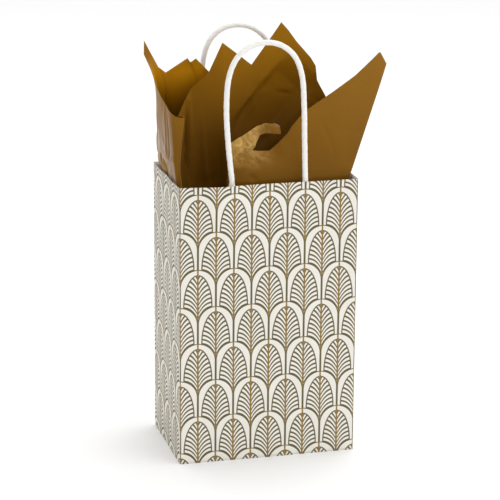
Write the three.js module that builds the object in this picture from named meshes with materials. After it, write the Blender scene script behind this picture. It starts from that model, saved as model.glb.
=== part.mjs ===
// Small paper gift bag with twisted-paper handles, stuffed with sheets of tissue.
// Frame: origin on the underside, at the middle of the base; +Z up; the front panel faces -Y.
// The bag is one folded sheet of paper. Each panel between two creases is a piece of its own,
// because the side gussets fold in and the front panel comes back against the rear one.
// Units are millimetres.
import * as THREE from 'three';

// Size of the bag, open.
const WIDTH = 133.35;
const DEPTH = 88.9;
const HEIGHT = 209.55;

// Paper, drawn thicker than it is (0.15) so that it is a sound solid.
const PAPER = 0.3;
const GAP = 0.3;

// Block bottom: a rear flap outermost, a front flap lapped over it inside, and two end flaps on top.
const REAR_FLAP_DEPTH = 52;
const FLAP_LAP = 16;
const LAP_STEP = 3;
const END_FLAP_DEPTH = 36;
const END_FLAP_TIP = 40;
const FRONT_FLAP_LIFT = PAPER + GAP;
const END_FLAP_Z = 2 * (PAPER + GAP);

// Side seam, glued inside the rear panel.
const SEAM_WIDTH = 16;
const SEAM_FROM_CORNER = 4;

// Handles: a twisted paper cord, bent to an arch, with both ends glued between two paper strips.
const CORD_RADIUS = 2.25;
const LEG_HALF_SPACING = 27.4;
const PIVOT_ABOVE_RIM = 3.3;
const ARCH_SIDES = 12;
const ARCH_STEPS = 64;
// Half of the arch's centre line: distance from the middle, and height above the rim.
const ARCH_HALF = [
  [27.4, 3.3],
  [27.7, 12],
  [28.4, 32],
  [28.7, 54],
  [27.2, 76],
  [21.8, 90.5],
  [12, 99.2],
];
const ARCH_TOP = 102;

// Handle patch, with the cord ends pressed flat in it.
const PATCH_WIDTH = 84;
const PATCH_HEIGHT = 38;
const PATCH_BELOW_RIM = 2;
const END_HALF_WIDTH = 2.9;
const END_HALF_THICK = 1.5;
const END_LENGTH = 34;
const END_ABOVE_RIM = 0.7;

// Tissue: sheets stood in the mouth, gathered towards their lower ends.
const TISSUE = 0.25;
const TISSUE_BASE = 102;
const GATHER = 0.62;

const white = { color: '#efece5', roughness: 0.85, metalness: 0 };
const cordWhite = { color: '#f3f1ec', roughness: 0.8, metalness: 0 };
const gold = { color: '#86601f', roughness: 0.8, metalness: 0 };

const group = new THREE.Group();

function add(name, geometry, finish) {
  const mesh = new THREE.Mesh(geometry, new THREE.MeshStandardMaterial(finish));
  mesh.name = name;
  group.add(mesh);
  return mesh;
}

// A flat piece of paper between two opposite corners.
function sheetBox(low, high) {
  const size = high.map((v, i) => v - low[i]);
  const geometry = new THREE.BoxGeometry(size[0], size[1], size[2]);
  geometry.translate(low[0] + size[0] / 2, low[1] + size[1] / 2, low[2] + size[2] / 2);
  return geometry;
}

// A closed outline pushed out by a length: outline axes and push direction are given as a basis.
function pushed(outline, length, across, upward, along, start) {
  const shape = new THREE.Shape(outline.map(([a, b]) => new THREE.Vector2(a, b)));
  const geometry = new THREE.ExtrudeGeometry(shape, { depth: length, bevelEnabled: false });
  geometry.applyMatrix4(new THREE.Matrix4().makeBasis(across, upward, along));
  geometry.translate(start.x, start.y, start.z);
  return geometry;
}

const X = new THREE.Vector3(1, 0, 0);
const Y = new THREE.Vector3(0, 1, 0);
const Z = new THREE.Vector3(0, 0, 1);
const halfW = WIDTH / 2;
const halfD = DEPTH / 2;
const wallFoot = PAPER + GAP;

// Front and rear panels, the full width of the bag.
add('front_panel', sheetBox([-halfW, -halfD, wallFoot], [halfW, -halfD + PAPER, HEIGHT]), white);
add('rear_panel', sheetBox([-halfW, halfD - PAPER, wallFoot], [halfW, halfD, HEIGHT]), white);

// Each side gusset is two halves that meet at its middle crease.
for (const [side, sign] of [['left', -1], ['right', 1]]) {
  const outer = sign * halfW;
  const inner = sign * (halfW - PAPER);
  const lowX = Math.min(outer, inner);
  const highX = Math.max(outer, inner);
  const corner = halfD - PAPER - GAP;
  add(`${side}_gusset_front`, sheetBox([lowX, -corner, wallFoot], [highX, -GAP / 2, HEIGHT]), white);
  add(`${side}_gusset_rear`, sheetBox([lowX, GAP / 2, wallFoot], [highX, corner, HEIGHT]), white);
}

// The glued side seam: a strip that runs up inside the rear panel, beside its right corner.
const seamX = halfW - PAPER - SEAM_FROM_CORNER;
const seamY = halfD - 2 * PAPER - GAP;
add(
  'side_seam_tab',
  sheetBox([seamX - SEAM_WIDTH, seamY, 2 * END_FLAP_Z], [seamX, seamY + PAPER, HEIGHT - 1]),
  white,
);

// Bottom. The rear flap lies flat on the ground side and reaches past the middle.
const rearFlapEdge = halfD - REAR_FLAP_DEPTH;
add('bottom_flap_rear', sheetBox([-halfW, rearFlapEdge, 0], [halfW, halfD, PAPER]), white);

// The front flap starts on the ground side and steps up over the rear flap's edge, between the gussets.
const stepStart = rearFlapEdge - 1 - LAP_STEP;
const stepEnd = rearFlapEdge - 1;
const frontFlapEdge = rearFlapEdge + FLAP_LAP;
const frontFlapOutline = [
  [-halfD, 0],
  [stepStart, 0],
  [stepEnd, FRONT_FLAP_LIFT],
  [frontFlapEdge, FRONT_FLAP_LIFT],
  [frontFlapEdge, FRONT_FLAP_LIFT + PAPER],
  [stepEnd, FRONT_FLAP_LIFT + PAPER],
  [stepStart, PAPER],
  [-halfD, PAPER],
];
const frontFlapHalf = halfW - PAPER - GAP;
add(
  'bottom_flap_front',
  pushed(frontFlapOutline, 2 * frontFlapHalf, Y, Z, X, new THREE.Vector3(-frontFlapHalf, 0, 0)),
  white,
);

// End flaps come in from the gussets, narrowing to their tips, and lie inside on the lapped flaps.
const endFlapHalf = halfD - PAPER - GAP;
const endFlapRoot = halfW - PAPER - GAP;
for (const [side, sign] of [['left', -1], ['right', 1]]) {
  const root = sign * endFlapRoot;
  const tip = sign * (endFlapRoot - END_FLAP_DEPTH);
  const outline = [
    [root, -endFlapHalf],
    [tip, -END_FLAP_TIP / 2],
    [tip, END_FLAP_TIP / 2],
    [root, endFlapHalf],
  ];
  add(
    `bottom_flap_${side}`,
    pushed(outline, PAPER, X, Y, Z, new THREE.Vector3(0, 0, END_FLAP_Z)),
    white,
  );
}

// The cover strip's section: flat against the base strip, and raised over each cord end.
function coverOutline(baseFace, out) {
  const low = baseFace + out * GAP;
  const high = baseFace + out * (2 * END_HALF_THICK + 2 * GAP);
  const rise = END_HALF_WIDTH + GAP;
  const foot = rise + 2 * END_HALF_THICK;
  const legs = [-LEG_HALF_SPACING, LEG_HALF_SPACING];
  const under = [[-PATCH_WIDTH / 2, low]];
  for (const leg of legs) {
    under.push([leg - foot, low]);
    under.push([leg - rise, high]);
    under.push([leg + rise, high]);
    under.push([leg + foot, low]);
  }
  under.push([PATCH_WIDTH / 2, low]);
  const over = under.map(([a, b]) => [a, b + out * PAPER]);
  return [...under, ...over.reverse()];
}

// One cord end: the cord pressed to an oval where the strips hold it.
function cordEnd() {
  const oval = new THREE.Shape();
  oval.absellipse(0, 0, END_HALF_WIDTH, END_HALF_THICK, 0, 2 * Math.PI);
  const depth = END_LENGTH + END_ABOVE_RIM;
  return new THREE.ExtrudeGeometry(oval, { depth, bevelEnabled: false, curveSegments: 8 });
}

// The arch that shows above the rim, from one pivot to the other.
function arch() {
  const left = ARCH_HALF.map(([x, z]) => new THREE.Vector3(-x, 0, z));
  const right = ARCH_HALF.map(([x, z]) => new THREE.Vector3(x, 0, z)).reverse();
  const path = new THREE.CatmullRomCurve3([...left, new THREE.Vector3(0, 0, ARCH_TOP), ...right]);
  const round = new THREE.Shape();
  round.absarc(0, 0, CORD_RADIUS, 0, 2 * Math.PI);
  return new THREE.ExtrudeGeometry(round, {
    extrudePath: path,
    steps: ARCH_STEPS,
    curveSegments: ARCH_SIDES / 2,
    bevelEnabled: false,
  });
}

// Handle, its two glued ends and its two strips. "out" points from the panel into the bag.
for (const [side, out] of [['front', 1], ['rear', -1]]) {
  const innerFace = -out * (halfD - PAPER);
  const baseLow = innerFace + out * GAP;
  const baseHigh = baseLow + out * PAPER;
  const patchFoot = HEIGHT - PATCH_BELOW_RIM - PATCH_HEIGHT;
  const patchTop = HEIGHT - PATCH_BELOW_RIM;
  const cordY = baseHigh + out * (GAP + END_HALF_THICK);
  add(
    `${side}_patch_base`,
    sheetBox(
      [-PATCH_WIDTH / 2, Math.min(baseLow, baseHigh), patchFoot],
      [PATCH_WIDTH / 2, Math.max(baseLow, baseHigh), patchTop],
    ),
    white,
  );
  add(
    `${side}_patch_cover`,
    pushed(coverOutline(baseHigh, out), PATCH_HEIGHT, X, Y, Z, new THREE.Vector3(0, 0, patchFoot)),
    white,
  );
  for (const [leg, sign] of [['left', -1], ['right', 1]]) {
    const end = add(`${side}_cord_end_${leg}`, cordEnd(), cordWhite);
    end.position.set(sign * LEG_HALF_SPACING, cordY, HEIGHT - END_LENGTH);
  }
  const handle = add(`${side}_handle`, arch(), cordWhite);
  handle.position.set(0, cordY, HEIGHT);
}

// A sheet of tissue as a closed wall. Each column runs up one fold: where it crosses the rim
// (x, y), and its upper end (x, y, z). Below the rim the folds draw in towards the middle.
function tissueWall(columns) {
  const rows = [
    columns.map(([x, y]) => [x * GATHER, y * GATHER, TISSUE_BASE]),
    columns.map(([x, y]) => [x, y, HEIGHT]),
    columns.map(([, , x, y, z]) => [x, y, z]),
  ];
  const faces = [[], []];
  for (const row of rows) {
    row.forEach(([x, y, z], i) => {
      const before = row[Math.max(i - 1, 0)];
      const after = row[Math.min(i + 1, row.length - 1)];
      const normal = new THREE.Vector2(before[1] - after[1], after[0] - before[0]).normalize();
      faces[0].push([x + normal.x * TISSUE / 2, y + normal.y * TISSUE / 2, z]);
      faces[1].push([x - normal.x * TISSUE / 2, y - normal.y * TISSUE / 2, z]);
    });
  }
  const count = columns.length;
  const total = rows.length * count;
  const index = [];
  const quad = (a, b, c, d) => index.push(a, b, c, a, c, d);
  // Both faces are split along the same diagonal, so a twisted stretch keeps its thickness.
  const bothFaces = (a, b, c) => index.push(a, b, c, total + a, total + c, total + b);
  for (let row = 0; row + 1 < rows.length; row += 1) {
    for (let i = 0; i + 1 < count; i += 1) {
      const a = row * count + i;
      bothFaces(a + 1, a, a + count);
      bothFaces(a + 1, a + count, a + count + 1);
    }
    const first = row * count;
    const last = first + count - 1;
    quad(first, total + first, total + first + count, first + count);
    quad(total + last, last, last + count, total + last + count);
  }
  const topRow = (rows.length - 1) * count;
  for (let i = 0; i + 1 < count; i += 1) {
    quad(i, i + 1, total + i + 1, total + i);
    quad(topRow + i + 1, topRow + i, total + topRow + i, total + topRow + i + 1);
  }
  const geometry = new THREE.BufferGeometry();
  const positions = new Float32Array([...faces[0], ...faces[1]].flat());
  geometry.setAttribute('position', new THREE.BufferAttribute(positions, 3));
  geometry.setIndex(index);
  return geometry;
}

// Left sheet: across the rear of the mouth, round the left side, and back in along the front.
const LEFT_TISSUE = [
  [-27, 17, -30, 15, 280],
  [-33, 20, -40.5, 16, 292],
  [-38, 22, -44, 18, 289],
  [-42, 23, -46, 19, 292],
  [-52, 28, -61.5, 24, 281],
  [-59, 32, -68, 23, 286],
  [-63.5, 33, -80, 12, 307],
  [-64.8, 15, -76, 0, 285],
  [-63, -8, -68, -13, 266],
  [-60, -20, -63, -23, 260],
  [-48, -25, -50, -25, 258],
  [-38, -22, -42, -20, 258],
  [-30, -12, -34, -8, 262],
];

// Rear sheet: two tall points across the middle, ending behind the right side.
const REAR_TISSUE = [
  [-29, 3, -32, 6, 281],
  [-20, 9, -23, 6, 304.5],
  [-8, 13, -6.5, 10, 292],
  [0, 16, 1, 14, 286],
  [16, 19, 24, 16, 316.5],
  [30, 22, 37, 18, 301],
  [42, 25, 49, 20, 288],
  [50, 26, 54, 22, 271],
  [57, 22, 61.5, 18, 258],
  [61, 8, 66, 6, 244],
];

// Front sheet: a low flap behind the handle, then a broad leaf that leans out to the right.
const FRONT_TISSUE = [
  [-29, -32, -26, -33, 238],
  [-14, -35, -1, -27, 250],
  [4, -36, 4, -31, 232],
  [20, -36, 25, -28, 252.5],
  [34, -35.5, 33, -26, 257],
  [48, -35, 48.5, -22, 266],
  [56, -34, 74, -15, 278],
  [61, -32.5, 93.5, -10, 296],
  [64.3, -30, 99, -6, 285.5],
];

add('tissue_left', tissueWall(LEFT_TISSUE), gold);
add('tissue_rear', tissueWall(REAR_TISSUE), gold);
add('tissue_front', tissueWall(FRONT_TISSUE), gold);

export default group;
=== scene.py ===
import math
import bpy
import numpy as np
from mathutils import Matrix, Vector, noise
from mathutils.geometry import delaunay_2d_cdt


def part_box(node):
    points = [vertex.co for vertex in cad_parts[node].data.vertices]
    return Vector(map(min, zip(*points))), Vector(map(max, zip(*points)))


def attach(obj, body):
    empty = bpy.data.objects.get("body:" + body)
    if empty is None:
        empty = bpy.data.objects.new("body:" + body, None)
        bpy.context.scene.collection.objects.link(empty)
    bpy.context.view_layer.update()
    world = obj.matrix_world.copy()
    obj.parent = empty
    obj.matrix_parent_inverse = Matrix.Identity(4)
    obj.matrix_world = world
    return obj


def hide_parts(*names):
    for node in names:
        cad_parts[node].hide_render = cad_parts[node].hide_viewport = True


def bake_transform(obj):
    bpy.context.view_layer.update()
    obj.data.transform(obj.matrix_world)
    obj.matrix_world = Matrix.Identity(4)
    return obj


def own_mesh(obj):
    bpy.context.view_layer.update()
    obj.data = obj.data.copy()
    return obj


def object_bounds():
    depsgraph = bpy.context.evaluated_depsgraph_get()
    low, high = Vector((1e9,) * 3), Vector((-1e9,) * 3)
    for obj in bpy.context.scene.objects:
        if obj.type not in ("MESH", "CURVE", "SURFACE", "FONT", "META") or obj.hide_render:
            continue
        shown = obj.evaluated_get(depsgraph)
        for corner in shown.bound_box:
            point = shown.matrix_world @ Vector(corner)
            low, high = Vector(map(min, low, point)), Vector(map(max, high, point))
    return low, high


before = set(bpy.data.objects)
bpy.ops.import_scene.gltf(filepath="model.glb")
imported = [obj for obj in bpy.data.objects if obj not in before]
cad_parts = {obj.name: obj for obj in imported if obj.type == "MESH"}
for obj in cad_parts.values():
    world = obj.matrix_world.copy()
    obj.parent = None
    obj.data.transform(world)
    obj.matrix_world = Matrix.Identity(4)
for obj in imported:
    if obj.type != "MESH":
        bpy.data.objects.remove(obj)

cad_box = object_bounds()

# The view. The bag stands on a white table in a white room. The camera looks down on it from the
# front and a little to its left, from 1.5 m away, through a long lens.
MM = 0.001


def colour(code):
    """The linear colour of an sRGB hex code, with full alpha."""
    parts = [int(code[i:i + 2], 16) / 255 for i in (1, 3, 5)]
    return [p / 12.92 if p <= 0.04045 else ((p + 0.055) / 1.055) ** 2.4 for p in parts] + [1.0]


def add(tree, kind, inputs=(), **settings):
    """Adds a node with its settings; each input is a value, a socket, or a node's first output."""
    made = tree.nodes.new(kind)
    for key, value in settings.items():
        setattr(made, key, value)
    for key, value in dict(inputs).items():
        source = value.outputs[0] if isinstance(value, bpy.types.Node) else value
        if isinstance(source, bpy.types.NodeSocket):
            tree.links.new(source, made.inputs[key])
        else:
            made.inputs[key].default_value = source
    return made


def new_material(name):
    """An empty material, with its tree and its principled shader."""
    made = bpy.data.materials.new(name)
    made.use_nodes = True
    return made, made.node_tree, made.node_tree.nodes["Principled BSDF"]


def new_mesh(name, points, faces, materials):
    """A mesh object of the given points and faces, in metres."""
    data = bpy.data.meshes.new(name)
    data.from_pydata([tuple(p) for p in points], [], faces)
    data.update()
    made = bpy.data.objects.new(name, data)
    bpy.context.scene.collection.objects.link(made)
    for material in materials:
        data.materials.append(material)
    return made


AIM = Vector((-2.8, 0.0, 148.4)) * MM
AZIMUTH, ELEVATION, ROLL = (math.radians(a) for a in (-14.75, 15.22, 0.39))
DISTANCE = 1.5
LENS = 144.4
SIGHT = 20.0

back = Vector((math.sin(AZIMUTH) * math.cos(ELEVATION), -math.cos(AZIMUTH) * math.cos(ELEVATION),
               math.sin(ELEVATION)))
camera_data = bpy.data.cameras.new("camera")
camera_data.lens = LENS
camera_data.clip_end = SIGHT
camera = bpy.data.objects.new("camera", camera_data)
bpy.context.scene.collection.objects.link(camera)
camera.location = AIM + back * DISTANCE
camera.rotation_euler = (-back).to_track_quat("-Z", "Y").to_euler()
camera.rotation_euler.rotate_axis("Z", ROLL)
bpy.context.scene.camera = camera

# White laminate: matt and almost even, so that the eye rests on the bag's own shadow.
TABLE_HALF = 4
TABLE_MOTTLES = 40.0

table_white, tree, shader = new_material("white table")
mottle = add(tree, "ShaderNodeTexNoise", {"Scale": TABLE_MOTTLES, "Detail": 2.0})
tint = add(tree, "ShaderNodeMapRange", {"Value": mottle, "To Min": 0.955, "To Max": 0.97})
tree.links.new(tint.outputs[0], shader.inputs["Base Color"])
shader.inputs["Roughness"].default_value = 0.9
corners = [(x * TABLE_HALF, y * TABLE_HALF, 0) for x, y in ((-1, -1), (1, -1), (1, 1), (-1, 1))]
table = new_mesh("table", corners, [(0, 1, 2, 3)], [table_white])

# The room's walls light the bag from all round, twice as strongly from its right.
LEFT_WALL, RIGHT_WALL = 0.62, 1.3

world = bpy.data.worlds.new("studio")
world.use_nodes = True
sky = world.node_tree
facing = add(sky, "ShaderNodeSeparateXYZ", {0: add(sky, "ShaderNodeTexCoord").outputs["Generated"]})
wall_light = add(sky, "ShaderNodeMapRange", {"Value": facing, "From Min": -1.0, "From Max": 1.0,
                                             "To Min": LEFT_WALL, "To Max": RIGHT_WALL})
sky.nodes["Background"].inputs["Color"].default_value = colour("#FFFFFF")
sky.links.new(wall_light.outputs[0], sky.nodes["Background"].inputs["Strength"])
bpy.context.scene.world = world
bpy.context.scene.view_settings.view_transform = "Standard"


def soft_box(name, place, size, watts):
    """A square area light that faces the middle of the bag."""
    data = bpy.data.lights.new(name, "AREA")
    data.size = size
    data.energy = watts
    light = bpy.data.objects.new(name, data)
    bpy.context.scene.collection.objects.link(light)
    light.location = place
    light.rotation_euler = (AIM - Vector(place)).to_track_quat("-Z", "Y").to_euler()


soft_box("key", place=(0.9, -0.9, 1.2), size=1.4, watts=2.5)
soft_box("top", place=(0.1, 0.5, 1.8), size=1.6, watts=10)

# Printed bag paper. White kraft, 120 g, printed gold all over with rows of scallops, each holding
# a fern. The ink is flat: olive where it lies thin, and golden where it lies thick at the stems.
# Sizes here are in mm on the sheet: u runs round the bag and z runs up it.
REPEAT = 26.67
HALF = REPEAT / 2
ROW = 28.0
TOP_APEX = 204.5
OVAL_HALF_WIDTH = 10.4
OVAL_HEIGHT = 23.7
LINE = 1.1
# Two neighbours each draw this much of the outer line between them.
SHARED_LINE = 0.75 * LINE
STEM = 1.35
GOLD_REACH = 2.6
INK_EDGE = 0.18
# Veins: their pitch at the foot of the fern, how it opens out with height, the inked share of a
# pitch, how that grows towards the stem, and how steeply a vein drops into the stem.
VEIN_PITCH = 3.13
VEIN_THINNING = 0.0017
VEIN_SHARE = 0.45
VEIN_SWELL = 0.0003
VEIN_BEND = 0.0039

# Each step is a new value, an operation, and the two things that it works on.
PRINT_STEPS = [
    # Distance from the middle of the nearest scallop, for the two staggered sets of rows.
    ("turn", "DIVIDE", "u", REPEAT),
    ("part", "FRACT", "turn", 0.0),
    ("side", "SUBTRACT", "part", 0.5),
    ("off", "ABSOLUTE", "side", 0.0),
    ("dx_a", "MULTIPLY", "off", REPEAT),
    ("dx_b", "SUBTRACT", HALF, "dx_a"),
    # How far each round top has dropped at that distance: a quarter circle.
    ("sq_a", "MULTIPLY", "dx_a", "dx_a"),
    ("in_a", "SUBTRACT", HALF * HALF, "sq_a"),
    ("root_a", "SQRT", "in_a", 0.0),
    ("drop_a", "SUBTRACT", HALF, "root_a"),
    ("sq_b", "MULTIPLY", "dx_b", "dx_b"),
    ("in_b", "SUBTRACT", HALF * HALF, "sq_b"),
    ("root_b", "SQRT", "in_b", 0.0),
    ("drop_b", "SUBTRACT", HALF, "root_b"),
    # Depth below the apex of the scallop that covers this point, in each set.
    ("low_a", "SUBTRACT", TOP_APEX, "z"),
    ("gap_a", "SUBTRACT", "low_a", "drop_a"),
    ("past_a", "FLOORED_MODULO", "gap_a", 2 * ROW),
    ("depth_a", "ADD", "past_a", "drop_a"),
    ("low_b", "SUBTRACT", "low_a", ROW),
    ("gap_b", "SUBTRACT", "low_b", "drop_b"),
    ("past_b", "FLOORED_MODULO", "gap_b", 2 * ROW),
    ("depth_b", "ADD", "past_b", "drop_b"),
    # The lower scallop lies over the upper one.
    ("is_a", "LESS_THAN", "depth_a", "depth_b"),
    ("depth", "MINIMUM", "depth_a", "depth_b"),
    ("dx_ab", "SUBTRACT", "dx_a", "dx_b"),
    ("dx_pick", "MULTIPLY", "dx_ab", "is_a"),
    ("dx", "ADD", "dx_b", "dx_pick"),
    # Outer line: an arch, then an upright that it shares with its neighbour.
    ("rest", "SUBTRACT", HALF, "depth"),
    ("above", "MAXIMUM", "rest", 0.0),
    ("dx_sq", "MULTIPLY", "dx", "dx"),
    ("above_sq", "MULTIPLY", "above", "above"),
    ("far_sq", "ADD", "dx_sq", "above_sq"),
    ("far", "SQRT", "far_sq", 0.0),
    ("from_line", "SUBTRACT", HALF, "far"),
    ("outer", "SUBTRACT", SHARED_LINE, "from_line"),
    ("outer_ink", "DIVIDE", "outer", INK_EDGE),
    # Inner line: a tall half oval on two uprights. Its distance is taken from the oval's slope.
    ("to_next", "SUBTRACT", ROW, "depth"),
    ("oval_z", "MAXIMUM", "to_next", 0.0),
    ("ex", "DIVIDE", "dx", OVAL_HALF_WIDTH),
    ("ez", "DIVIDE", "oval_z", OVAL_HEIGHT),
    ("ex_sq", "MULTIPLY", "ex", "ex"),
    ("ez_sq", "MULTIPLY", "ez", "ez"),
    ("e_sq", "ADD", "ex_sq", "ez_sq"),
    ("e", "SQRT", "e_sq", 0.0),
    ("gx", "DIVIDE", "ex_sq", OVAL_HALF_WIDTH ** 2),
    ("gz", "DIVIDE", "ez_sq", OVAL_HEIGHT ** 2),
    ("g_sq", "ADD", "gx", "gz"),
    ("g", "SQRT", "g_sq", 0.0),
    ("e_off", "SUBTRACT", "e", 1.0),
    ("e_by_e", "MULTIPLY", "e_off", "e"),
    ("from_oval", "DIVIDE", "e_by_e", "g"),
    ("oval_far", "ABSOLUTE", "from_oval", 0.0),
    ("oval", "SUBTRACT", LINE / 2, "oval_far"),
    ("oval_ink", "DIVIDE", "oval", INK_EDGE),
    # Fern: parallel veins, level at the arch and steep where they run into the stem.
    ("reach", "SUBTRACT", HALF, "dx"),
    ("reach_sq", "MULTIPLY", "reach", "reach"),
    ("reach_cu", "MULTIPLY", "reach_sq", "reach"),
    ("vein_drop", "MULTIPLY", "reach_cu", VEIN_BEND),
    ("vein_z", "ADD", "to_next", "vein_drop"),
    ("vein_fast", "MULTIPLY", "vein_z", 1 / VEIN_PITCH),
    ("vein_z_sq", "MULTIPLY", "vein_z", "vein_z"),
    ("vein_slow", "MULTIPLY", "vein_z_sq", VEIN_THINNING),
    ("vein_n", "SUBTRACT", "vein_fast", "vein_slow"),
    ("vein_h", "ADD", "vein_n", 0.5),
    ("vein_f", "FRACT", "vein_h", 0.0),
    ("vein_c", "SUBTRACT", "vein_f", 0.5),
    ("vein_a", "ABSOLUTE", "vein_c", 0.0),
    ("vein_more", "MULTIPLY", "reach_sq", VEIN_SWELL),
    ("vein_half", "ADD", "vein_more", VEIN_SHARE / 2),
    ("vein_in", "SUBTRACT", "vein_half", "vein_a"),
    ("vein_all_ink", "MULTIPLY", "vein_in", VEIN_PITCH / INK_EDGE),
    ("inside", "LESS_THAN", "e", 1.0),
    ("vein_ink", "MULTIPLY", "vein_all_ink", "inside"),
    ("stem", "SUBTRACT", STEM / 2, "dx"),
    ("stem_ink", "DIVIDE", "stem", INK_EDGE),
    # The ink lies thicker towards the stem, where the veins run together.
    ("stem_share", "DIVIDE", "dx", GOLD_REACH),
    ("thick_ink", "SUBTRACT", 1.0, "stem_share"),
    ("arch_ink", "MAXIMUM", "outer_ink", "oval_ink"),
    ("fern_ink", "MAXIMUM", "vein_ink", "stem_ink"),
    ("all_ink", "MAXIMUM", "arch_ink", "fern_ink"),
]

# Real fibres are about 0.03 mm wide. They are drawn twenty times coarser, to show at all.
FIBRE_MM = 0.6
CLOUD_MM = 18.0


def kraft_ground(tree, shader, light, dark):
    """Kraft paper: cloudy formation, and fine fibres that show as a faint bump."""
    place = add(tree, "ShaderNodeTexCoord").outputs["Object"]
    cloud = add(tree, "ShaderNodeTexNoise", {"Vector": place, "Scale": 1 / (CLOUD_MM * MM), "Detail": 4.0})
    ground = add(tree, "ShaderNodeMix", {0: cloud, 6: colour(dark), 7: colour(light)}, data_type="RGBA")
    fibre = add(tree, "ShaderNodeTexNoise", {"Vector": place, "Scale": 1 / (FIBRE_MM * MM), "Detail": 3.0})
    bump = add(tree, "ShaderNodeBump", {"Height": fibre, "Strength": 0.12, "Distance": 0.1 * MM})
    tree.links.new(bump.outputs[0], shader.inputs["Normal"])
    shader.inputs["IOR"].default_value = 1.5
    shader.inputs["Specular IOR Level"].default_value = 0.25
    return ground.outputs[2], cloud


# Machine-finished kraft with flexo ink: the paper is matt and a little warm, and the ink on it is
# darker, crisp at its edges and slightly shinier.
printed_kraft, tree, shader = new_material("printed white kraft")
ground, cloud = kraft_ground(tree, shader, "#ECE8DF", "#E5E0D6")
position = add(tree, "ShaderNodeUVMap", uv_map="print")
split = add(tree, "ShaderNodeSeparateXYZ", {0: position})
value = {"u": split.outputs[0], "z": split.outputs[1]}
for step, operation, first, second in PRINT_STEPS:
    pair = {0: value.get(first, first), 1: value.get(second, second)}
    value[step] = add(tree, "ShaderNodeMath", pair, operation=operation, use_clamp=step.endswith("ink"))
thin_ink = add(tree, "ShaderNodeMix", {0: cloud, 6: colour("#565034"), 7: colour("#655B39")},
               data_type="RGBA")
full_ink = add(tree, "ShaderNodeMix", {0: value["thick_ink"], 6: thin_ink.outputs[2], 7: colour("#8A7036")},
               data_type="RGBA")
surface = add(tree, "ShaderNodeMix", {0: value["all_ink"], 6: ground, 7: full_ink.outputs[2]},
              data_type="RGBA")
tree.links.new(surface.outputs[2], shader.inputs["Base Color"])
shine = add(tree, "ShaderNodeMapRange", {"Value": value["all_ink"], "To Min": 0.72, "To Max": 0.5})
tree.links.new(shine.outputs[0], shader.inputs["Roughness"])

# The back of the same sheet: unprinted, whiter and fully matt.
plain_kraft, tree, shader = new_material("plain white kraft")
ground, cloud = kraft_ground(tree, shader, "#F1EDE6", "#E6E0D8")
tree.links.new(ground, shader.inputs["Base Color"])
shader.inputs["Roughness"].default_value = 0.8

# Panels. The bag is one sheet, creased at its four corners and down the middle of each gusset.
# Each panel swells a little between its creases, and the front rim stands off its straight line.
front_low, front_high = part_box("front_panel")
rear_low, rear_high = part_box("rear_panel")
LEFT, RIGHT = front_low.x, front_high.x
FRONT, REAR = front_low.y, rear_high.y
MIDDLE = (FRONT + REAR) / 2
RIM = front_high.z
WIDTH, DEPTH = RIGHT - LEFT, REAR - FRONT
PAPER = front_high.y - front_low.y
# Real kraft of this weight is 0.16 mm thick. It is drawn thicker, so that its cut edge shows.
SEEN_PAPER = 0.25 * MM
CREASE_ROUND = 1.6 * MM
WIDE_SWELL, GUSSET_SWELL = 0.5 * MM, 0.7 * MM
SWELL_AT_FOOT = 0.4
WAVE_RISE = 0.5 * MM
WAVES_ACROSS, WAVES_UP = 22, 13
ACROSS_STEPS, UP_STEPS = 48, 80
# How far the front rim stands out, where along the panel, and how wide and how deep that reaches.
BOW, BOW_PLACE, BOW_WIDE, BOW_DEEP = 3.2 * MM, 30 * MM, 17 * MM, 45 * MM


def grid_faces(across, up):
    """The faces of a grid of points that is laid row on row, with across + 1 points in a row."""
    row = across + 1
    return [(j * row + i, j * row + i + 1, (j + 1) * row + i + 1, (j + 1) * row + i)
            for j in range(up) for i in range(across)]


def thicken(made, thickness):
    """Gives a sheet its thickness on the inside, where it shows its second material."""
    wall = made.modifiers.new("paper", "SOLIDIFY")
    wall.thickness = thickness
    wall.offset = -1
    wall.material_offset = 1


def bag_paper(name, body, node, points, faces, print_places, outside):
    """A piece of the bag's sheet. print_places says where each point lies on the print, in mm."""
    made = new_mesh(name, points, faces, [outside, plain_kraft])
    layer = made.data.uv_layers.new(name="print")
    for loop in made.data.loops:
        layer.data[loop.index].uv = print_places[loop.vertex_index]
    made.data.shade_smooth()
    thicken(made, SEEN_PAPER)
    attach(made, body)
    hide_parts(node)
    return made


def front_bow(s, below):
    """The front rim stands forward between the left corner and the left handle leg."""
    return BOW * math.exp(-((s - BOW_PLACE) / BOW_WIDE) ** 2) * math.exp(-below / BOW_DEEP)


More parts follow.
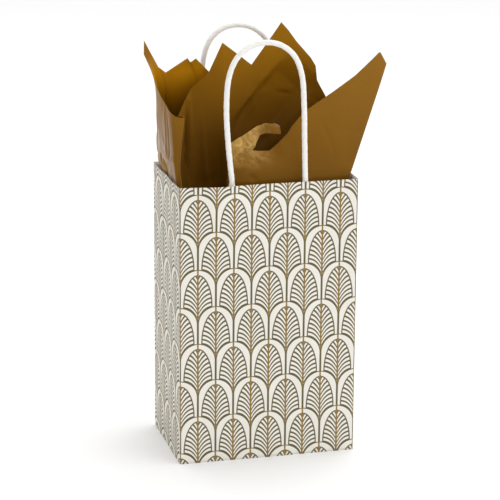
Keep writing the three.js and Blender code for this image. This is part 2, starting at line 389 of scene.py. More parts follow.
def panel(name, body, node, start, end, print_start, swell, ends_round, rim_bow=None):
    """One panel between two creases, from start to end (x, y) anticlockwise seen from above.

    ends_round says which of its edges are corners of the bag, where the paper turns over a
    small radius onto the hinge line.
    """
    start, end = Vector(start), Vector(end)
    along = end - start
    length = along.length
    along.normalize()
    out = Vector((along.y, -along.x))
    points, print_places = [], []
    for j in range(UP_STEPS + 1):
        z = RIM * j / UP_STEPS
        for i in range(ACROSS_STEPS + 1):
            # The columns lie closer together towards the creases, where the paper turns.
            share = 0.5 - 0.5 * math.cos(math.pi * i / ACROSS_STEPS)
            s = length * share
            middle = math.sin(math.pi * share)
            bulge = swell * middle * (SWELL_AT_FOOT + (1 - SWELL_AT_FOOT) * z / RIM)
            # print_start gives each panel its own waves.
            wave = noise.noise(Vector((s * WAVES_ACROSS + print_start * 9, z * WAVES_UP, 4.0)))
            bulge += WAVE_RISE * wave * middle
            if rim_bow:
                bulge += rim_bow(s, RIM - z)
            for rounded, distance in zip(ends_round, (s, length - s)):
                if rounded and distance < CREASE_ROUND:
                    bulge -= PAPER * (1 - distance / CREASE_ROUND) ** 2
            place = start + along * s + out * bulge
            points.append((place.x, place.y, z))
            print_places.append(((print_start + s) / MM, z / MM))
    bag_paper(name, body, node, points, grid_faces(ACROSS_STEPS, UP_STEPS), print_places, printed_kraft)


panel("front_paper", "bag_front", "front_panel", (LEFT, FRONT), (RIGHT, FRONT), 0.0,
      WIDE_SWELL, (True, True), front_bow)
panel("right_front_gusset_paper", "right_gusset_front", "right_gusset_front", (RIGHT, FRONT), (RIGHT, MIDDLE),
      WIDTH, GUSSET_SWELL, (True, False))
panel("right_rear_gusset_paper", "right_gusset_rear", "right_gusset_rear", (RIGHT, MIDDLE), (RIGHT, REAR),
      WIDTH + DEPTH / 2, GUSSET_SWELL, (False, True))
panel("rear_paper", "bag_rear", "rear_panel", (RIGHT, REAR), (LEFT, REAR), WIDTH + DEPTH,
      WIDE_SWELL, (True, True))
panel("left_rear_gusset_paper", "left_gusset_rear", "left_gusset_rear", (LEFT, REAR), (LEFT, MIDDLE),
      -DEPTH, GUSSET_SWELL, (True, False))
panel("left_front_gusset_paper", "left_gusset_front", "left_gusset_front", (LEFT, MIDDLE), (LEFT, FRONT),
      -DEPTH / 2, GUSSET_SWELL, (False, True))

# Bottom. A block bottom of four flaps of the same sheet, folded under and glued: the rear flap
# lies outermost, the front flap laps over it inside, and the two end flaps close the corners.
FLAP_STEPS = 24
FLAP_WAVES = 30
FLAP_RISE = 0.06 * MM
FLAP_CLEAR = 0.02 * MM
TUCK = 0.6 * MM
LAP_FOOT, LAP_TOP = 4 * MM, 1 * MM
END_TIP = 20 * MM


def flap(name, node, outline, outside, step=None):
    """A glued flap. outline gives its two long edges as ((x, y), (x, y)) at the fold and at the tip.

    step says where, in y, it climbs onto the flap that it laps over.
    """
    low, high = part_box(node)
    (fold_a, fold_b), (tip_a, tip_b) = [[Vector(p) for p in edge] for edge in outline]
    printed = 1 if outside is printed_kraft else 0
    points, print_places = [], []
    for j in range(FLAP_STEPS + 1):
        for i in range(FLAP_STEPS + 1):
            across, out = i / FLAP_STEPS, j / FLAP_STEPS
            place = fold_a.lerp(fold_b, across).lerp(tip_a.lerp(tip_b, across), out)
            # low.z gives each flap its own waves, which die out at its fold and its sides.
            wave = noise.noise(Vector((place.x * FLAP_WAVES, place.y * FLAP_WAVES, low.z * 900))) + 1
            inner = out * min(1.0, 4 * across, 4 * (1 - across))
            z = low.z + FLAP_CLEAR + FLAP_RISE * wave * inner
            if step:
                climb = (place.y - step[0]) / (step[1] - step[0])
                z += (high.z - PAPER - low.z) * min(max(climb, 0.0), 1.0)
            points.append((place.x, place.y, z))
            print_places.append(((place.x - LEFT) * printed / MM, (place.y - FRONT) * -printed / MM))
    faces = grid_faces(FLAP_STEPS, FLAP_STEPS)
    a, b, c = (Vector(points[k]) for k in faces[0][:3])
    if (b - a).cross(c - a).z > 0:
        faces = [f[::-1] for f in faces]
    made = bag_paper(name, "bag_rear", node, points, faces, print_places, outside)
    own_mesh(made)


low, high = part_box("bottom_flap_rear")
lap_edge = low.y
flap("bottom_rear_paper", "bottom_flap_rear",
     (((LEFT, REAR), (RIGHT, REAR)), ((LEFT, lap_edge), (RIGHT, lap_edge))), printed_kraft)
low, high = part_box("bottom_flap_front")
flap("bottom_front_paper", "bottom_flap_front",
     (((low.x, FRONT), (high.x, FRONT)), ((low.x, high.y), (high.x, high.y))), printed_kraft,
     step=(lap_edge - LAP_FOOT, lap_edge - LAP_TOP))
for side, fold, tip in (("left", 0, 1), ("right", 1, 0)):
    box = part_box("bottom_flap_" + side)
    flap("bottom_" + side + "_paper", "bottom_flap_" + side,
         (((box[fold].x, FRONT + TUCK), (box[fold].x, REAR - TUCK)),
          ((box[tip].x, -END_TIP), (box[tip].x, END_TIP))), plain_kraft)

# Seam tab and handle patches. The tab is the sheet's own edge, glued inside the rear panel. Each
# patch is two strips of white kraft, glued to the panel with the cord ends pressed between them.
# The strips are rougher, unprinted kraft: fully matt, and a shade whiter than the sheet's back.
patch_kraft, tree, shader = new_material("patch white kraft")
ground, cloud = kraft_ground(tree, shader, "#F2EFEA", "#E4DFD8")
tree.links.new(ground, shader.inputs["Base Color"])
shader.inputs["Roughness"].default_value = 0.85

for node, finish in (("side_seam_tab", plain_kraft), ("front_patch_base", patch_kraft),
                     ("front_patch_cover", patch_kraft), ("rear_patch_base", patch_kraft),
                     ("rear_patch_cover", patch_kraft)):
    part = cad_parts[node]
    part.data.materials.clear()
    part.data.materials.append(finish)

# Handles. Each is a cord of white paper twisted hard and bent to an arch. Its ends are pressed
# flat in the patch. Sizes are in mm.
CORD_R = 2.0
FLAT_HALF_WIDTH, FLAT_HALF_THICK = 2.9, 1.4
FLAT_UP_TO, ROUND_FROM = -5.0, 2.0
TWIST_PITCH = 15.0
PLY = 2
# The groove between two plies: its depth, its width for its spacing, and the share of it that is
# left where the cord is pressed flat.
GROOVE, GROOVE_WIDE, FLAT_GROOVE = 0.3, 0.24, 0.3
UNEVEN = 0.03
SWAY = 0.25
CORD_STEP = 0.7
CORD_SIDES = 28
# Half of the arch's centre line: distance from the middle, and height above the rim.
ARCH_HALF = [(27.4, 3.3), (27.7, 12), (28.4, 32), (28.7, 54), (27.2, 76), (21.8, 90.5), (12, 99.2)]
ARCH_TOP = 102.0
# Real fibres are finer. These are drawn so that the twist shows: 14 round the cord, 4 mm long.
FIBRES_AROUND, FIBRE_LONG = 14.0, 4.0

# Twisted kraft cord: matt and white, with streaks of fibre that follow the twist.
cord_paper, tree, shader = new_material("twisted white paper")
twist = add(tree, "ShaderNodeUVMap", uv_map="twist")
strand = add(tree, "ShaderNodeMapping", {"Vector": twist, "Scale": (FIBRES_AROUND, 1 / FIBRE_LONG, 1.0)})
fibre = add(tree, "ShaderNodeTexNoise", {"Vector": strand, "Scale": 1.0, "Detail": 3.0})
tone = add(tree, "ShaderNodeMix", {0: fibre, 6: colour("#E4E2DC"), 7: colour("#F8F6F2")}, data_type="RGBA")
tree.links.new(tone.outputs[2], shader.inputs["Base Color"])
bump = add(tree, "ShaderNodeBump", {"Height": fibre, "Strength": 0.35, "Distance": 0.12 * MM})
tree.links.new(bump.outputs[0], shader.inputs["Normal"])
shader.inputs["Roughness"].default_value = 0.7
shader.inputs["Specular IOR Level"].default_value = 0.3


def smooth_step(value, start, end):
    """0 before start, 1 after end, smooth between."""
    share = np.clip((value - start) / (end - start), 0, 1)
    return share * share * (3 - 2 * share)


def curve_piece(a, b, c, d, t):
    """A smooth curve from b to c, headed from a and on to d, at the shares t."""
    return 0.5 * (2 * b + (c - a) * t + (2 * a - 5 * b + 4 * c - d) * t ** 2
                  + (3 * b - a - 3 * c + d) * t ** 3)


def along_curve(points, step):
    """Points every step along a smooth curve through the given ones, and their distances along it."""
    p = np.array(points, float)
    ends = np.vstack([2 * p[0] - p[1], p, 2 * p[-1] - p[-2]])
    t = np.linspace(0, 1, 24, endpoint=False)[:, None]
    parts = [curve_piece(a, b, c, d, t) for a, b, c, d in zip(ends, ends[1:], ends[2:], ends[3:])]
    fine = np.vstack(parts + [p[-1:]])
    far = np.concatenate([[0], np.cumsum(np.linalg.norm(np.diff(fine, axis=0), axis=1))])
    even = np.linspace(0, far[-1], int(far[-1] / step) + 1)
    return np.column_stack([np.interp(even, far, fine[:, k]) for k in range(fine.shape[1])]), even


def cord_line(foot, lean, top_shift):
    """The cord's centre line (x, z above the rim) from one flat end to the other."""
    # Inside the patch the leg runs straight down.
    leg = ARCH_HALF[0][0]
    half = [(leg, foot), (leg, foot * 0.6), (leg, foot * 0.2), *ARCH_HALF]
    arch = [(-x, z) for x, z in half] + [(0, ARCH_TOP)] + [(x, z) for x, z in reversed(half)]
    line = []
    for x, z in arch:
        up = min(max(z / ARCH_TOP, 0.0), 1.0)
        line.append((x + lean * math.sin(math.pi * up) + top_shift * up * up, z))
    return along_curve(line, CORD_STEP)


def cord_skin(centre, far, cord_y, phase):
    """The cord's surface: rings of points in metres, and where each lies (turns round, mm along)."""
    heading = np.gradient(centre, axis=0)
    heading /= np.linalg.norm(heading, axis=1)[:, None]
    around = np.linspace(0, 2 * math.pi, CORD_SIDES, endpoint=False)
    points, places = [], []
    for (x, z), (run, rise), distance in zip(centre, heading, far):
        turn = 2 * math.pi * distance / TWIST_PITCH + phase
        rounded = smooth_step(z, FLAT_UP_TO, ROUND_FROM)
        wide = FLAT_HALF_WIDTH + (CORD_R - FLAT_HALF_WIDTH) * rounded
        thick = FLAT_HALF_THICK + (CORD_R - FLAT_HALF_THICK) * rounded
        sway = SWAY * noise.noise(Vector((distance * 0.06, phase, 1.0))) * rounded
        for angle in around:
            # The grooves between the plies wind round the cord, and are pressed shut at its ends.
            twisted = angle - turn
            groove = math.exp(-(math.sin(twisted * PLY / 2) / GROOVE_WIDE) ** 2)
            depth = GROOVE / CORD_R * groove * (FLAT_GROOVE + (1 - FLAT_GROOVE) * rounded)
            lump = noise.noise(Vector((math.cos(twisted) * 1.2, math.sin(twisted) * 1.2,
                                       distance * 0.09 + phase)))
            size = 1 - depth + UNEVEN * lump
            sideways = math.cos(angle) * wide * size
            points.append(((x + rise * sideways) * MM,
                           (cord_y + sway + math.sin(angle) * thick * size) * MM,
                           RIM + (z - run * sideways) * MM))
            places.append((twisted / (2 * math.pi), distance))
    return points, places


def cord_faces(rings):
    """Faces round a tube of rings, with a cap at each end."""
    faces = []
    for k in range(rings - 1):
        for i in range(CORD_SIDES):
            a, b = k * CORD_SIDES + i, k * CORD_SIDES + (i + 1) % CORD_SIDES
            faces.append((a, b, b + CORD_SIDES, a + CORD_SIDES))
    faces.append(tuple(range(CORD_SIDES - 1, -1, -1)))
    faces.append(tuple(range((rings - 1) * CORD_SIDES, rings * CORD_SIDES)))
    return faces


def handle(side, lean, top_shift, phase):
    """One handle. lean and top_shift move its legs and its top sideways, in mm, as it has set."""
    low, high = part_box(side + "_cord_end_right")
    cord_y = (low.y + high.y) / 2 / MM
    centre, far = cord_line((low.z - RIM) / MM, lean, top_shift)
    points, places = cord_skin(centre, far, cord_y, phase)
    made = new_mesh(side + "_twisted_cord", points, cord_faces(len(centre)), [cord_paper])
    layer = made.data.uv_layers.new(name="twist")
    for face in made.data.polygons:
        # The last face of each ring joins its last point to its first, one full turn on.
        spots = [v % CORD_SIDES for v in face.vertices]
        wraps = 0 in spots and CORD_SIDES - 1 in spots
        for index in face.loop_indices:
            vertex = made.data.loops[index].vertex_index
            turns, distance = places[vertex]
            layer.data[index].uv = (turns + (1 if wraps and vertex % CORD_SIDES == 0 else 0), distance)
    made.data.shade_smooth()
    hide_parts(side + "_handle", side + "_cord_end_left", side + "_cord_end_right")
    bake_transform(made)


handle("front", lean=-2.2, top_shift=-3.0, phase=0.4)
handle("rear", lean=0.0, top_shift=-3.0, phase=2.1)

# Tissue. Three sheets of gold-brown tissue, pushed into the mouth by their middles and left to
# stand. Each gathers into pleats below the rim and is creased by hand. One face is calendered to a
# low shine; the other is turned in and drawn darker, partly a painted shade. Sizes are in mm.
RIM_MM = RIM / MM
TISSUE_BASE = 102.0
GATHER = 0.62
TISSUE_CELL = 1.3
# Real tissue is 0.03 mm thick. It is drawn thicker, to keep its two faces clear of each other.
TISSUE = 0.12
# Each sheet is cut from a flat 200 mm square, of which only a part stands up into view.
DYE_CLOUD_MM = 26
WRINKLE_MM = 5.0
HIGHLIGHT_PATCH_MM = 7.0


def tissue_face(name, low_tone, high_tone, backlight_tone, highlight_tone, dull, shiny, fuzz):
    """One face of the tissue.

    It has cloudy dye and fine wrinkles. Where it stands as a single layer it is drawn lighter, a
    painted backlight; where it is crumpled it breaks up into paler patches, a painted highlight.
    """
    made, tree, shader = new_material(name)
    place = add(tree, "ShaderNodeTexCoord").outputs["Object"]
    cloud = add(tree, "ShaderNodeTexNoise", {"Vector": place, "Scale": 1 / (DYE_CLOUD_MM * MM),
                                             "Detail": 5.0})
    tone = add(tree, "ShaderNodeMix", {0: cloud, 6: colour(low_tone), 7: colour(high_tone)}, data_type="RGBA")
    # Painted backlight: lighter towards the tips, where a single layer would let light through.
    painted_backlight = add(tree, "ShaderNodeAttribute", attribute_name="painted_backlight")
    backlit_mix = add(tree, "ShaderNodeMix", {0: painted_backlight.outputs["Fac"], 6: tone.outputs[2], 7: colour(backlight_tone)},
                 data_type="RGBA")
    # Painted highlight: paler patches where the crumpled paper would catch the light.
    painted_highlight = add(tree, "ShaderNodeAttribute", attribute_name="painted_highlight")
    highlight_patches = add(tree, "ShaderNodeTexNoise", {"Vector": place, "Scale": 1 / (HIGHLIGHT_PATCH_MM * MM), "Detail": 3.0,
                                              "Distortion": 1.2})
    highlight_breakup = add(tree, "ShaderNodeMapRange", {"Value": highlight_patches, "From Min": 0.35, "From Max": 0.65,
                                               "To Min": 0.25})
    highlight_share = add(tree, "ShaderNodeMath", {0: painted_highlight.outputs["Fac"], 1: highlight_breakup}, operation="MULTIPLY")
    face = add(tree, "ShaderNodeMix", {0: highlight_share, 6: backlit_mix.outputs[2], 7: colour(highlight_tone)},
               data_type="RGBA")
    tree.links.new(face.outputs[2], shader.inputs["Base Color"])
    wrinkle = add(tree, "ShaderNodeTexNoise", {"Vector": place, "Scale": 1 / (WRINKLE_MM * MM), "Detail": 4.0,
                                               "Distortion": 0.6})
    bump = add(tree, "ShaderNodeBump", {"Height": wrinkle, "Strength": 0.3, "Distance": 0.5 * MM})
    tree.links.new(bump.outputs[0], shader.inputs["Normal"])
    gloss = add(tree, "ShaderNodeMapRange", {"Value": cloud, "To Min": shiny, "To Max": dull})
    tree.links.new(gloss.outputs[0], shader.inputs["Roughness"])
    shader.inputs["Specular IOR Level"].default_value = 0.08
    shader.inputs["Sheen Weight"].default_value = fuzz
    shader.inputs["Sheen Roughness"].default_value = 0.3
    shader.inputs["Sheen Tint"].default_value = colour("#FFF4E4")
    return made


# Calendered face: warm gold brown, with a pale bloom where it is seen along its surface, paler
# patches of painted highlight where it is crumpled, and painted backlight towards its tips.
calendered = tissue_face("calendered gold brown tissue", low_tone="#6E4809", high_tone="#7E5612",
                         backlight_tone="#8A5F16", highlight_tone="#C09A56", dull=0.5, shiny=0.4, fuzz=0.65)
# Inner face: darker and duller, partly a painted shade for the hollow that it faces, and golden
# where painted backlight stands for light through a single layer.
shaded_inner_face = tissue_face("inner tissue face with painted shade", low_tone="#5C3A02", high_tone="#6C4604",
                        backlight_tone="#B67D04", highlight_tone="#5E3C03", dull=0.65, shiny=0.5, fuzz=0.0)


def spread(columns):
    """Many columns from few: rim places on a smooth curve, the upper edge in straight cuts."""
    c = np.array(columns, float)
    rim_steps = np.linalg.norm(np.diff(c[:, :2], axis=0), axis=1)
    top_steps = np.linalg.norm(np.diff(c[:, 2:], axis=0), axis=1)
    ends = np.vstack([2 * c[0] - c[1], c, 2 * c[-1] - c[-2]])
    rows = []
    for k, steps in enumerate(np.maximum(rim_steps, top_steps)):
        t = np.linspace(0, 1, max(2, int(steps / TISSUE_CELL)), endpoint=False)[:, None]
        smooth = curve_piece(*ends[k:k + 4], t)
        straight = c[k] + (c[k + 1] - c[k]) * t
        rows.append(np.hstack([smooth[:, :2], straight[:, 2:]]))
    return np.vstack(rows + [c[-1:]])


# Columns that end this high begin to flare, and flare fully this much higher.
FLARE_FROM, FLARE_GROWS = 278, 12


def stand(columns, levels, waist):
    """The sheet's points: each column is a smooth curve up from the gather, by the rim, to its end.

    levels run from 0 at the gather, by 1 at the rim, to 2 at the end. The tallest columns are drawn
    in by waist below their ends, so that the ends flare.
    """
    rim, top = columns[:, :2], columns[:, 2:4]
    high = columns[:, 4:5]
    foot = rim * GATHER
    lean_low = (rim - foot) / (RIM_MM - TISSUE_BASE)
    lean_rim = (top - foot) / (high - TISSUE_BASE)
    lean_top = (top - rim) / (high - RIM_MM)
    flares = waist * np.clip((high[:, 0] - FLARE_FROM) / FLARE_GROWS, 0, 1)
    grid = []
    for level in levels:
        if level <= 1:
            t, start, end, z0, z1, lean0, lean1 = level, foot, rim, TISSUE_BASE, RIM_MM, lean_low, lean_rim
        else:
            t, start, end, z0, z1, lean0, lean1 = level - 1, rim, top, RIM_MM, high, lean_rim, lean_top
        tall = z1 - z0
        # A cubic that leaves its start and meets its end at the given leans.
        from_end = 3 * t ** 2 - 2 * t ** 3
        flat = (1 - from_end) * start + from_end * end
        flat = flat + tall * ((t ** 3 - 2 * t ** 2 + t) * lean0 + (t ** 3 - t ** 2) * lean1)
        if level > 1:
            # t * t * (1 - t) reaches 1 / 6.75 at most, two thirds of the way up.
            flat[:, 0] -= np.sign(end[:, 0]) * 6.75 * t * t * (1 - t) * flares
        z = z0 + tall * t + np.zeros((len(columns), 1))
        grid.append(np.hstack([flat, z]))
    return np.array(grid)


def tent(value):
    """A fold: 1 at the crease, falling straight to 0 at its edges."""
    return np.maximum(0, 1 - np.abs(value))


def beside(a, z, line):
    """Where places lie along a line (a0, z0, a1, z1), as a share of it, and how far to its right."""
    a0, z0, a1, z1 = line
    run = np.array([a1 - a0, z1 - z0])
    length = np.linalg.norm(run)
    along = ((a - a0) * run[0] + (z - z0) * run[1]) / length ** 2
    aside = ((a - a0) * run[1] - (z - z0) * run[0]) / length
    return along, aside


def creased(a, z, creases):
    """How far creases lift the paper. Each is two ends (a, z), a height and a half width."""
    lift = np.zeros_like(a)
    for *line, height, width in creases:
        along, aside = beside(a, z, line)
        lift += height * tent(aside / width) * np.clip(1.6 * tent(2 * along - 1), 0, 1)
    return lift


# A bend is lost this far to the side of its line, over this much more.
BEND_REACH, BEND_FADE = 52.0, 30.0


def bent(a, z, bends):
    """How far bends turn the paper on the right of a line up the sheet: two ends, a slope and a reach."""
    lift = np.zeros_like(a)
    for *line, slope, reach in bends:
        along, aside = beside(a, z, line)
        fade = smooth_step(along, -0.25, 0.1) * (1 - smooth_step(along, 0.9, 1.25))
        fade *= 1 - smooth_step(aside, BEND_REACH, BEND_REACH + BEND_FADE)
        lift += slope * np.clip(aside, 0, reach) * fade
    return lift


def pleated(s, z, pleats):
    """Pleats that open downwards: each is its place, its top, its depth and half width at the base."""
    lift = np.zeros_like(s)
    for place, top, depth, half in pleats:
        down = np.clip((top - z) / (top - TISSUE_BASE), 0, 1)
        lift += depth * down ** 0.8 * tent((s - place) / np.maximum(half * (0.25 + 0.75 * down), 0.5))
    return lift


def gather_pleats(rng, start, length, count, tops):
    """Pleats side by side along the foot of a sheet, where it is gathered."""
    return [(start + length * (k + rng.uniform(0.2, 0.8)) / count, rng.uniform(*tops),
             rng.uniform(2.0, 4.5), rng.uniform(3.5, 6.0)) for k in range(count)]


def hand_creases(rng, count, across, heights):
    """Small creases at random over the sheet, as hands leave them."""
    made = []
    for _ in range(count):
        a, z = rng.uniform(*across), rng.uniform(*heights)
        angle, run = rng.uniform(0, math.pi), rng.uniform(12, 42)
        made.append((a, z, a + run * math.cos(angle), z + run * math.sin(angle),
                     rng.uniform(0.25, 0.7) * rng.choice([-1, 1]), rng.uniform(2.0, 6.0)))
    return made


def rolling(a, z, seed):
    """A slow unevenness all over the sheet."""
    rise = [0.9 * noise.noise(Vector((u * 0.035, v * 0.022, seed))) for u, v in zip(a.flat, z.flat)]
    return np.array(rise).reshape(a.shape)


def finish_tissue(name, node, points, faces, painted_highlight, painted_backlight):
    """A tissue sheet from its points in mm; its faces look outwards, with the calendered side."""
    made = new_mesh(name, [tuple(p * MM) for p in points], faces, [calendered, shaded_inner_face])
    # Each point keeps its share of painted highlight and of painted backlight.
    for mark, share in (("painted_highlight", painted_highlight), ("painted_backlight", painted_backlight)):
        made.data.attributes.new(mark, "FLOAT", "POINT").data.foreach_set("value", np.ravel(share))
    made.data.shade_smooth()
    thicken(made, TISSUE * MM)
    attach(made, node)
    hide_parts(node)
    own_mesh(made)


# 44 rows of points below the rim, and 60 from the rim up.
LEVELS = np.concatenate([np.linspace(0, 1, 44, endpoint=False), 1 + np.linspace(0, 1, 60)])
PLEAT_GAP = 9
CREASE_COUNT, CREASE_HEIGHTS = 26, (150, 300)


def column_sheet(name, node, columns, out, seed, gather_tops, backlight_by_height,
                 pleats=(), wall_creases=(), creases=(), bends=(), highlight_patches=(), waist=0):
    """A sheet drawn as columns. out is 1 if they run anticlockwise seen from above, or -1.

    pleats, wall_creases and the patches of painted highlight are placed by distance along the
    rim, creases and bends by x.
    A table by height gives how much painted backlight lightens the sheet.
    """
    wide = spread(columns)
    s_line = np.concatenate([[0], np.cumsum(np.linalg.norm(np.diff(wide[:, :2], axis=0), axis=1))])
    length = s_line[-1]
    grid = stand(wide, LEVELS, waist)
    x, z = grid[:, :, 0], grid[:, :, 2]
    s = np.broadcast_to(s_line, z.shape)
    rng = np.random.RandomState(seed)
    gather = gather_pleats(rng, 0, length, int(length / PLEAT_GAP), gather_tops)
    lift = pleated(s, z, gather + list(pleats))
    lift += creased(s, z, hand_creases(rng, CREASE_COUNT, (0, length), CREASE_HEIGHTS))
    lift += creased(s, z, wall_creases)
    lift += creased(x, z, creases) + bent(x, z, bends) + rolling(s, z, seed)
    normal = np.cross(np.gradient(grid, axis=1), np.gradient(grid, axis=0))
    normal /= np.linalg.norm(normal, axis=2)[:, :, None]
    grid = grid - out * normal * lift[:, :, None]
    rows, count = z.shape
    faces = [f[::out] for f in grid_faces(count - 1, rows - 1)]
    # Painted highlight: paler patches over the places listed.
    painted_highlight = np.zeros_like(z)
    for place, height, half, reach in highlight_patches:
        painted_highlight = np.maximum(painted_highlight, tent((s - place) / half) * tent((z - height) / reach))
    painted_backlight = np.interp(z, *zip(*backlight_by_height))
    finish_tissue(name, node, grid.reshape(-1, 3), faces, painted_highlight, painted_backlight)


# Each column is where it crosses the rim (x, y), and its upper end (x, y, z).
# Left sheet: across the rear, up into a folded spike at the left, and back in along the front.
LEFT_COLUMNS = [
    (-14, 23, -18, 20, 272), (-27, 22, -30, 16.5, 281), (-33, 23, -40.5, 16, 292), (-38, 24, -44, 18, 289),
    (-42, 25, -46, 19, 292), (-50, 31, -61.5, 24, 281), (-57, 36, -68, 23, 286),
    (-61, 38, -74.5, 18, 297.5), (-63.4, 38, -80, 12, 307), (-64.6, 35, -80.8, 9, 297.5),
    (-65, 29, -77, 4, 287.5), (-65, 21, -75.2, 0, 281), (-65, 9, -72.4, -10, 270),
    (-65, -6, -70.4, -16, 265), (-65, -18, -69, -21, 261.6), (-64.9, -26.6, -67.7, -24.8, 259.6),
    (-63.7, -28, -65, -26.2, 257.6), (-62.3, -28.2, -61.8, -26.6, 256.8),
    (-61.2, -26.8, -58.5, -25.2, 256.3), (-60.4, -21, -57.4, -18, 256), (-60.4, -12, -57.8, -9, 255),
    (-61, -4, -58.8, -1, 253),
]
# Painted backlight up its spike, and a painted highlight on the crumple at its rim.
column_sheet("left_tissue_sheet", "tissue_left", LEFT_COLUMNS, out=1, seed=3, gather_tops=(200, 214),
             wall_creases=[(74, 209, 75, 224, 2.2, 4.0), (81, 208, 83, 221, -2.0, 3.5),
                           (88, 207, 90, 218, 1.6, 4.0), (76, 221, 122, 227, -1.0, 4.0),
                           (96, 216, 93, 262, -0.6, 4.0), (108, 216, 104, 260, 0.6, 3.5)],
             highlight_patches=[(80, 211, 11, 13)], backlight_by_height=[(236, 0), (281, 1), (285, 0.9), (296, 0.35)], waist=5.5)

# Rear sheet: a low turned-in edge at the left, then two tall points, the right one folded over.
REAR_COLUMNS = [
    (-57, -6, -57.5, 2, 252), (-50, 0, -51, 8, 262.5), (-41, 6, -45.5, 11.5, 270.5),
    (-31, 8, -32.5, 8.5, 283), (-20, 9, -23, 6, 304.5), (-8, 13, -6.5, 10, 292), (0, 16, 1, 14, 286),
    (16, 19, 24, 16, 316.5), (21, 20.5, 30, 17, 310), (27, 22, 36.5, 17, 301.2), (38, 24.5, 47.6, 18, 289),
    (42, 25, 51.9, 19, 282.4), (46, 25.5, 53.2, 19, 271.3), (55, 24, 60.5, 17, 257.9), (61, 10, 66, 6, 244),
]
# Painted backlight rises towards its two tall points.
column_sheet("rear_tissue_sheet", "tissue_rear", REAR_COLUMNS, out=-1, seed=5, gather_tops=(196, 226),
             pleats=[(26, 252, 5.0, 8), (38, 236, -3.5, 7)], wall_creases=[(9, 200, 14, 262, -6.0, 4.0)],
             creases=[(10.7, 271, -8.8, 241.7, -1.2, 3.2), (14.5, 270, -4.5, 240, 1.4, 5.0),
                      (21, 263.2, 38, 259.4, -1.2, 2.0), (22, 267, 38, 263, 0.8, 3.5)],
             bends=[(34, 292, 54, 274, -0.4, 16.0)], backlight_by_height=[(235, 0), (300, 0.42)])

# Front sheet: a low flap behind the handle, a notch where it is turned back on itself, and a
# broad leaf that leans out to the right. It is cut from one flat outline (x, z) and then leans.
FRONT_OUTLINE = [
    (-29, RIM_MM), (-25.6, 235.8), (-0.2, 248.6), (1.2, 248.2), (1.4, 245.8), (-2.6, 240.2), (-8.4, 231.2),
    (-8, 230.4), (3.6, 230.1), (5.2, 231.2), (11.7, 237.9), (17.0, 242.8), (21.3, 248.2), (25.2, 252.2),
    (31, 257.6), (57.5, 272.5), (72, 280.5), (92.8, 295.4), (94.2, 295), (99, 286.5), (83, 251),
    (64.3, RIM_MM),
]
FRONT_SEED = 8
EDGE_STEP, EDGE_CLEAR = 1.2, 0.8
# The turned-back part rises behind the sheet (y, z), rolls over from ROLL_FOOT up, and comes down
# to its free edge. It runs from BACK_LEFT to BACK_RIGHT, and is pinched from PINCH on.
TURNED_BACK = [(-20.5, 205), (-20.5, 222), (-20.8, 234), (-21, 242), (-21.6, 246), (-23.2, 248.6),
               (-25.4, 249.2), (-27.6, 247.6), (-28.7, 244.8), (-29.2, 242.4)]
ROLL_STEP = 0.9
ROLL_FOOT, ROLL_TALL = 242, 7
BACK_LEFT, PINCH, BACK_RIGHT = -15, 8.5, 12.2
BACK_COLUMNS = 26
FLAP_FOLD = 221
FRONT_PLEATS, FRONT_PLEAT_RUN = 10, 93
FLAP_CREASES, LEAF_CREASES = 22, 24


def flap_tilt(x, z):
    """The low flap leans further back, from its fold up, than the leaf, which begins at a slant."""
    return 0.3 * max(z - FLAP_FOLD, 0.0) * (1 - smooth_step(x + 0.5 * (z - 230), 4, 16))


def front_lean(x, z):
    """How far back the front sheet stands at a place on it: further with height and at its sides."""
    up = max(z - RIM_MM, 0.0)
    lean = -35.5 + 0.2 * up + 0.0025 * max(0.0, x - 25) ** 2 + 0.0155 * max(0.0, -14 - x) ** 2
    return lean + flap_tilt(x, z)


def cut_flat(outline):
    """A flat sheet cut to an outline: its points (x, z) and its triangles."""
    edge = []
    for (x0, z0), (x1, z1) in zip(outline, outline[1:] + outline[:1]):
        steps = max(1, int(math.hypot(x1 - x0, z1 - z0) / EDGE_STEP))
        edge += [(x0 + (x1 - x0) * k / steps, z0 + (z1 - z0) * k / steps) for k in range(steps)]
    xs, zs = np.array(edge).T
    xn, zn = np.roll(xs, -1), np.roll(zs, -1)
    inner = []
    for z in np.arange(TISSUE_BASE + 1, max(zs), TISSUE_CELL):
        for x in np.arange(min(xs), max(xs), TISSUE_CELL):
            # Inside, a line to the right crosses the outline an odd number of times.
            crosses = (zs > z) != (zn > z)
            right = x < (xn - xs) * (z - zs) / np.where(zn == zs, 1, zn - zs) + xs
            if np.sum(crosses & right) % 2 and np.min((xs - x) ** 2 + (zs - z) ** 2) > EDGE_CLEAR ** 2:
                inner.append((x, z))
    loop = [list(range(len(edge)))]
    cut = delaunay_2d_cdt([Vector(p) for p in edge + inner], [], loop, 1, 0.0001)
    return np.array([tuple(v) for v in cut[0]]), [tuple(f) for f in cut[2]]


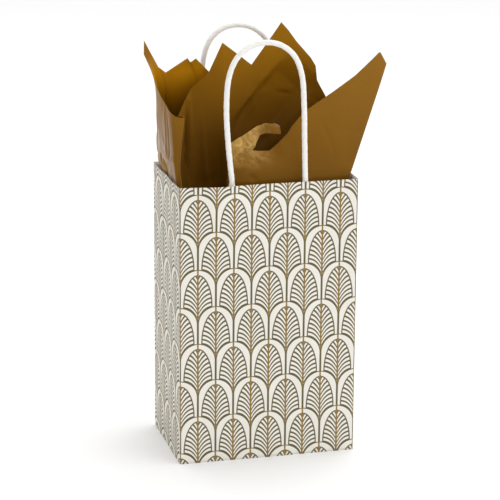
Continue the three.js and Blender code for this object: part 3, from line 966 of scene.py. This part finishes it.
def turned_back():
    """The points of the turned-back part, row on row up its section, and its faces."""
    roll, _ = along_curve(TURNED_BACK, ROLL_STEP)
    points = []
    for y, height in roll:
        for x in np.linspace(BACK_LEFT, BACK_RIGHT, BACK_COLUMNS):
            over = max(height - ROLL_FOOT, 0) / ROLL_TALL
            pinch = smooth_step(x, PINCH, BACK_RIGHT)
            # The rolled edge sinks to the left and at the pinch, and ripples along its length.
            drop = 1.6 * pinch * over + 0.7 * max(2 - x, 0) * max(height - 228, 0) / 21
            ripple = 0.8 * math.sin(x * 0.8 + 0.15 * height) * over
            ripple += 0.35 * noise.noise(Vector((x * 0.3, height * 0.2, 2)))
            points.append((x, y + ripple + 2.2 * pinch * over + flap_tilt(x, height), height - drop))
    faces = [(f[0], f[3], f[2], f[1]) for f in grid_faces(BACK_COLUMNS - 1, len(roll) - 1)]
    return points, faces


left, right = FRONT_OUTLINE[0][0], FRONT_OUTLINE[-1][0]
verts, faces = cut_flat([(left, TISSUE_BASE)] + FRONT_OUTLINE + [(right, TISSUE_BASE)])
x, z = verts.T
rng = np.random.RandomState(FRONT_SEED)
gather = gather_pleats(rng, left, FRONT_PLEAT_RUN, FRONT_PLEATS, (178, 206))
# The low flap has been handled most: its creases are shorter, sharper and deeper.
flap_creases = [(a0, z0, (a0 + a1) / 2, (z0 + z1) / 2, 2.6 * height, 0.6 * width)
                for a0, z0, a1, z1, height, width in hand_creases(rng, FLAP_CREASES, (-26, 2), (208, 246))]
lift = pleated(x, z, gather) + creased(x, z, hand_creases(rng, LEAF_CREASES, (left, 95), (150, 290)))
lift += creased(x, z, flap_creases) + rolling(x, z, FRONT_SEED)
points = []
for px, pz, rise in zip(x, z, lift):
    draw = 1 - (1 - GATHER) * max(RIM_MM - pz, 0) / (RIM_MM - TISSUE_BASE)
    points.append((px * draw, (front_lean(px, pz) + rise) * draw, pz))
a, b, c = (np.array(points[k]) for k in faces[0])
if np.cross(b - a, c - a)[1] > 0:
    faces = [f[::-1] for f in faces]
back_points, back_faces = turned_back()
faces += [tuple(len(points) + k for k in f) for f in back_faces]
points = np.array(points + back_points)
# Painted highlight on the flap and on what is turned back, and painted backlight towards the tip of the leaf.
x, _, z = points.T
painted_highlight = (1 - smooth_step(x, -10, 10)) * smooth_step(z, 215, 234)
painted_backlight = np.clip((z - 225) / 75, 0, 1) * smooth_step(x, 12, 24)
finish_tissue("front_tissue_sheet", "tissue_front", points, faces, painted_highlight, painted_backlight)

low, high = cad_box
